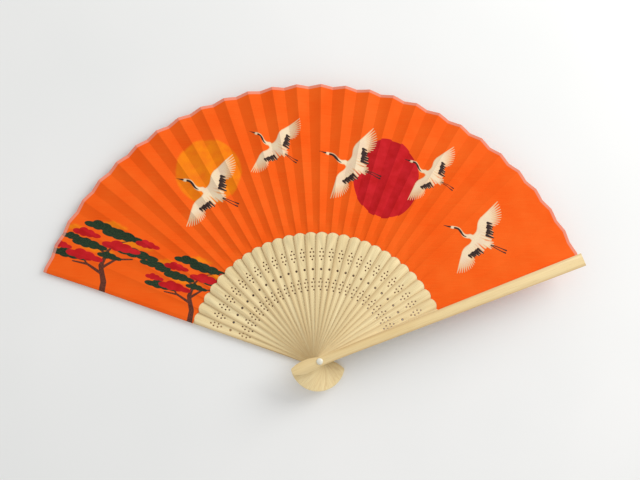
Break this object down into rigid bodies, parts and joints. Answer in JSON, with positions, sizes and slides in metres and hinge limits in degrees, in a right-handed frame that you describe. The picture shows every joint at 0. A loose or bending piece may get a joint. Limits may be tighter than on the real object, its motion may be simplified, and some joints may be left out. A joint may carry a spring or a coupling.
{
  "type": "folding hand fan",
  "caption": "Folding hand fan of pierced bamboo ribs on a rivet, between two guards, with a pleated printed cloth leaf; it folds shut.",
  "frame": {"origin": "on the rivet's axis, in the plane of the rear guard's flat back face", "axes": "+Z out of the fan's printed face, along the rivet; +Y towards the middle of the open leaf; +X towards the front guard's side"},
  "size_m": [0.3591, 0.208, 0.0236],
  "materials": {
    "guard_bamboo": "planed bamboo, satin",
    "rib_bamboo": "planed bamboo, matt",
    "leaf_cloth": "fine woven cotton, orange with a printed scene",
    "rivet_plastic": "cream, smooth"
  },
  "bodies": {
    "rear_guard": {"rear_guard": "guard_bamboo", "rib_01": "rib_bamboo", "leaf_01": "leaf_cloth", "rivet": "rivet_plastic", "rivet_cap": "rivet_plastic"},
    "rib_02": {"rib_02": "rib_bamboo", "leaf_02": "leaf_cloth"},
    "rib_03": {"rib_03": "rib_bamboo", "leaf_03": "leaf_cloth"},
    "rib_04": {"rib_04": "rib_bamboo", "leaf_04": "leaf_cloth"},
    "rib_05": {"rib_05": "rib_bamboo", "leaf_05": "leaf_cloth"},
    "rib_06": {"rib_06": "rib_bamboo", "leaf_06": "leaf_cloth"},
    "rib_07": {"rib_07": "rib_bamboo", "leaf_07": "leaf_cloth"},
    "rib_08": {"rib_08": "rib_bamboo", "leaf_08": "leaf_cloth"},
    "rib_09": {"rib_09": "rib_bamboo", "leaf_09": "leaf_cloth"},
    "rib_10": {"rib_10": "rib_bamboo", "leaf_10": "leaf_cloth"},
    "rib_11": {"rib_11": "rib_bamboo", "leaf_11": "leaf_cloth"},
    "rib_12": {"rib_12": "rib_bamboo", "leaf_12": "leaf_cloth"},
    "rib_13": {"rib_13": "rib_bamboo", "leaf_13": "leaf_cloth"},
    "rib_14": {"rib_14": "rib_bamboo", "leaf_14": "leaf_cloth"},
    "rib_15": {"rib_15": "rib_bamboo", "leaf_15": "leaf_cloth"},
    "rib_16": {"rib_16": "rib_bamboo", "leaf_16": "leaf_cloth"},
    "rib_17": {"rib_17": "rib_bamboo", "leaf_17": "leaf_cloth"},
    "rib_18": {"rib_18": "rib_bamboo", "leaf_18": "leaf_cloth"},
    "rib_19": {"rib_19": "rib_bamboo", "leaf_19": "leaf_cloth"},
    "rib_20": {"rib_20": "rib_bamboo", "leaf_20": "leaf_cloth"},
    "rib_21": {"rib_21": "rib_bamboo", "leaf_21": "leaf_cloth"},
    "rib_22": {"rib_22": "rib_bamboo", "leaf_22": "leaf_cloth"},
    "rib_23": {"rib_23": "rib_bamboo", "leaf_23": "leaf_cloth"},
    "rib_24": {"rib_24": "rib_bamboo", "leaf_24": "leaf_cloth"},
    "rib_25": {"rib_25": "rib_bamboo", "leaf_25": "leaf_cloth"},
    "rib_26": {"rib_26": "rib_bamboo", "leaf_26": "leaf_cloth"},
    "rib_27": {"rib_27": "rib_bamboo", "leaf_27": "leaf_cloth"},
    "front_guard": {"front_guard": "guard_bamboo", "rib_28": "rib_bamboo", "leaf_28": "leaf_cloth"}
  },
  "joints": [
    {"name": "fold_01", "type": "hinge", "parent": "rear_guard", "child": "rib_02", "pos_m": [0, 0, 0], "axis": [0, 0, 1], "range_deg": [0, 5.13], "deforming": ["leaf_01"]},
    {"name": "fold_02", "type": "hinge", "parent": "rib_02", "child": "rib_03", "pos_m": [0, 0, 0], "axis": [0, 0, 1], "range_deg": [0, 5.13], "deforming": ["leaf_02"]},
    {"name": "fold_03", "type": "hinge", "parent": "rib_03", "child": "rib_04", "pos_m": [0, 0, 0], "axis": [0, 0, 1], "range_deg": [0, 5.13], "deforming": ["leaf_03"]},
    {"name": "fold_04", "type": "hinge", "parent": "rib_04", "child": "rib_05", "pos_m": [0, 0, 0], "axis": [0, 0, 1], "range_deg": [0, 5.13], "deforming": ["leaf_04"]},
    {"name": "fold_05", "type": "hinge", "parent": "rib_05", "child": "rib_06", "pos_m": [0, 0, 0], "axis": [0, 0, 1], "range_deg": [0, 5.13], "deforming": ["leaf_05"]},
    {"name": "fold_06", "type": "hinge", "parent": "rib_06", "child": "rib_07", "pos_m": [0, 0, 0], "axis": [0, 0, 1], "range_deg": [0, 5.13], "deforming": ["leaf_06"]},
    {"name": "fold_07", "type": "hinge", "parent": "rib_07", "child": "rib_08", "pos_m": [0, 0, 0], "axis": [0, 0, 1], "range_deg": [0, 5.13], "deforming": ["leaf_07"]},
    {"name": "fold_08", "type": "hinge", "parent": "rib_08", "child": "rib_09", "pos_m": [0, 0, 0], "axis": [0, 0, 1], "range_deg": [0, 5.13], "deforming": ["leaf_08"]},
    {"name": "fold_09", "type": "hinge", "parent": "rib_09", "child": "rib_10", "pos_m": [0, 0, 0], "axis": [0, 0, 1], "range_deg": [0, 5.13], "deforming": ["leaf_09"]},
    {"name": "fold_10", "type": "hinge", "parent": "rib_10", "child": "rib_11", "pos_m": [0, 0, 0], "axis": [0, 0, 1], "range_deg": [0, 5.13], "deforming": ["leaf_10"]},
    {"name": "fold_11", "type": "hinge", "parent": "rib_11", "child": "rib_12", "pos_m": [0, 0, 0], "axis": [0, 0, 1], "range_deg": [0, 5.13], "deforming": ["leaf_11"]},
    {"name": "fold_12", "type": "hinge", "parent": "rib_12", "child": "rib_13", "pos_m": [0, 0, 0], "axis": [0, 0, 1], "range_deg": [0, 5.13], "deforming": ["leaf_12"]},
    {"name": "fold_13", "type": "hinge", "parent": "rib_13", "child": "rib_14", "pos_m": [0, 0, 0], "axis": [0, 0, 1], "range_deg": [0, 5.13], "deforming": ["leaf_13"]},
    {"name": "fold_14", "type": "hinge", "parent": "rib_14", "child": "rib_15", "pos_m": [0, 0, 0], "axis": [0, 0, 1], "range_deg": [0, 5.13], "deforming": ["leaf_14"]},
    {"name": "fold_15", "type": "hinge", "parent": "rib_15", "child": "rib_16", "pos_m": [0, 0, 0], "axis": [0, 0, 1], "range_deg": [0, 5.13], "deforming": ["leaf_15"]},
    {"name": "fold_16", "type": "hinge", "parent": "rib_16", "child": "rib_17", "pos_m": [0, 0, 0], "axis": [0, 0, 1], "range_deg": [0, 5.13], "deforming": ["leaf_16"]},
    {"name": "fold_17", "type": "hinge", "parent": "rib_17", "child": "rib_18", "pos_m": [0, 0, 0], "axis": [0, 0, 1], "range_deg": [0, 5.13], "deforming": ["leaf_17"]},
    {"name": "fold_18", "type": "hinge", "parent": "rib_18", "child": "rib_19", "pos_m": [0, 0, 0], "axis": [0, 0, 1], "range_deg": [0, 5.13], "deforming": ["leaf_18"]},
    {"name": "fold_19", "type": "hinge", "parent": "rib_19", "child": "rib_20", "pos_m": [0, 0, 0], "axis": [0, 0, 1], "range_deg": [0, 5.13], "deforming": ["leaf_19"]},
    {"name": "fold_20", "type": "hinge", "parent": "rib_20", "child": "rib_21", "pos_m": [0, 0, 0], "axis": [0, 0, 1], "range_deg": [0, 5.13], "deforming": ["leaf_20"]},
    {"name": "fold_21", "type": "hinge", "parent": "rib_21", "child": "rib_22", "pos_m": [0, 0, 0], "axis": [0, 0, 1], "range_deg": [0, 5.13], "deforming": ["leaf_21"]},
    {"name": "fold_22", "type": "hinge", "parent": "rib_22", "child": "rib_23", "pos_m": [0, 0, 0], "axis": [0, 0, 1], "range_deg": [0, 5.13], "deforming": ["leaf_22"]},
    {"name": "fold_23", "type": "hinge", "parent": "rib_23", "child": "rib_24", "pos_m": [0, 0, 0], "axis": [0, 0, 1], "range_deg": [0, 5.13], "deforming": ["leaf_23"]},
    {"name": "fold_24", "type": "hinge", "parent": "rib_24", "child": "rib_25", "pos_m": [0, 0, 0], "axis": [0, 0, 1], "range_deg": [0, 5.13], "deforming": ["leaf_24"]},
    {"name": "fold_25", "type": "hinge", "parent": "rib_25", "child": "rib_26", "pos_m": [0, 0, 0], "axis": [0, 0, 1], "range_deg": [0, 5.13], "deforming": ["leaf_25"]},
    {"name": "fold_26", "type": "hinge", "parent": "rib_26", "child": "rib_27", "pos_m": [0, 0, 0], "axis": [0, 0, 1], "range_deg": [0, 5.13], "deforming": ["leaf_26"]},
    {"name": "fold_27", "type": "hinge", "parent": "rib_27", "child": "front_guard", "pos_m": [0, 0, 0], "axis": [0, 0, 1], "range_deg": [0, 5.13], "deforming": ["leaf_27"]}
  ],
  "couplings": [
    {"joint": "fold_02", "follows": "fold_01", "ratio": 1},
    {"joint": "fold_03", "follows": "fold_01", "ratio": 1},
    {"joint": "fold_04", "follows": "fold_01", "ratio": 1},
    {"joint": "fold_05", "follows": "fold_01", "ratio": 1},
    {"joint": "fold_06", "follows": "fold_01", "ratio": 1},
    {"joint": "fold_07", "follows": "fold_01", "ratio": 1},
    {"joint": "fold_08", "follows": "fold_01", "ratio": 1},
    {"joint": "fold_09", "follows": "fold_01", "ratio": 1},
    {"joint": "fold_10", "follows": "fold_01", "ratio": 1},
    {"joint": "fold_11", "follows": "fold_01", "ratio": 1},
    {"joint": "fold_12", "follows": "fold_01", "ratio": 1},
    {"joint": "fold_13", "follows": "fold_01", "ratio": 1},
    {"joint": "fold_14", "follows": "fold_01", "ratio": 1},
    {"joint": "fold_15", "follows": "fold_01", "ratio": 1},
    {"joint": "fold_16", "follows": "fold_01", "ratio": 1},
    {"joint": "fold_17", "follows": "fold_01", "ratio": 1},
    {"joint": "fold_18", "follows": "fold_01", "ratio": 1},
    {"joint": "fold_19", "follows": "fold_01", "ratio": 1},
    {"joint": "fold_20", "follows": "fold_01", "ratio": 1},
    {"joint": "fold_21", "follows": "fold_01", "ratio": 1},
    {"joint": "fold_22", "follows": "fold_01", "ratio": 1},
    {"joint": "fold_23", "follows": "fold_01", "ratio": 1},
    {"joint": "fold_24", "follows": "fold_01", "ratio": 1},
    {"joint": "fold_25", "follows": "fold_01", "ratio": 1},
    {"joint": "fold_26", "follows": "fold_01", "ratio": 1},
    {"joint": "fold_27", "follows": "fold_01", "ratio": 1}
  ]
}
